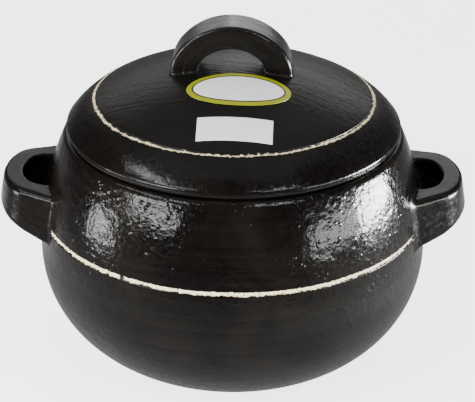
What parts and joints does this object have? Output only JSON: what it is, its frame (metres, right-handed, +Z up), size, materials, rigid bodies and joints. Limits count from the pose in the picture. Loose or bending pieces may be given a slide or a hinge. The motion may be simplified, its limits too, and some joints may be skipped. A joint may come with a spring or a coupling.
{
  "type": "rice pot",
  "caption": "Round-bellied glazed clay pot with side ears and a domed lid with an arched handle, for cooking rice or stew on a stove.",
  "frame": {"origin": "centre of the pot's base on the surface it stands on", "axes": "+Z up along the pot's axis, +X along the line from ear to ear, -Y towards the side with the labels"},
  "size_m": [0.2532, 0.21, 0.1892],
  "materials": {
    "pot_glaze": "black gloss glaze",
    "lid_glaze": "black satin glaze",
    "green_paper": "coated paper",
    "white_paper": "coated paper"
  },
  "bodies": {
    "root": {"pot_body": "pot_glaze", "lid": "lid_glaze", "oval_label": "green_paper", "strip_label": "white_paper"}
  },
  "joints": []
}
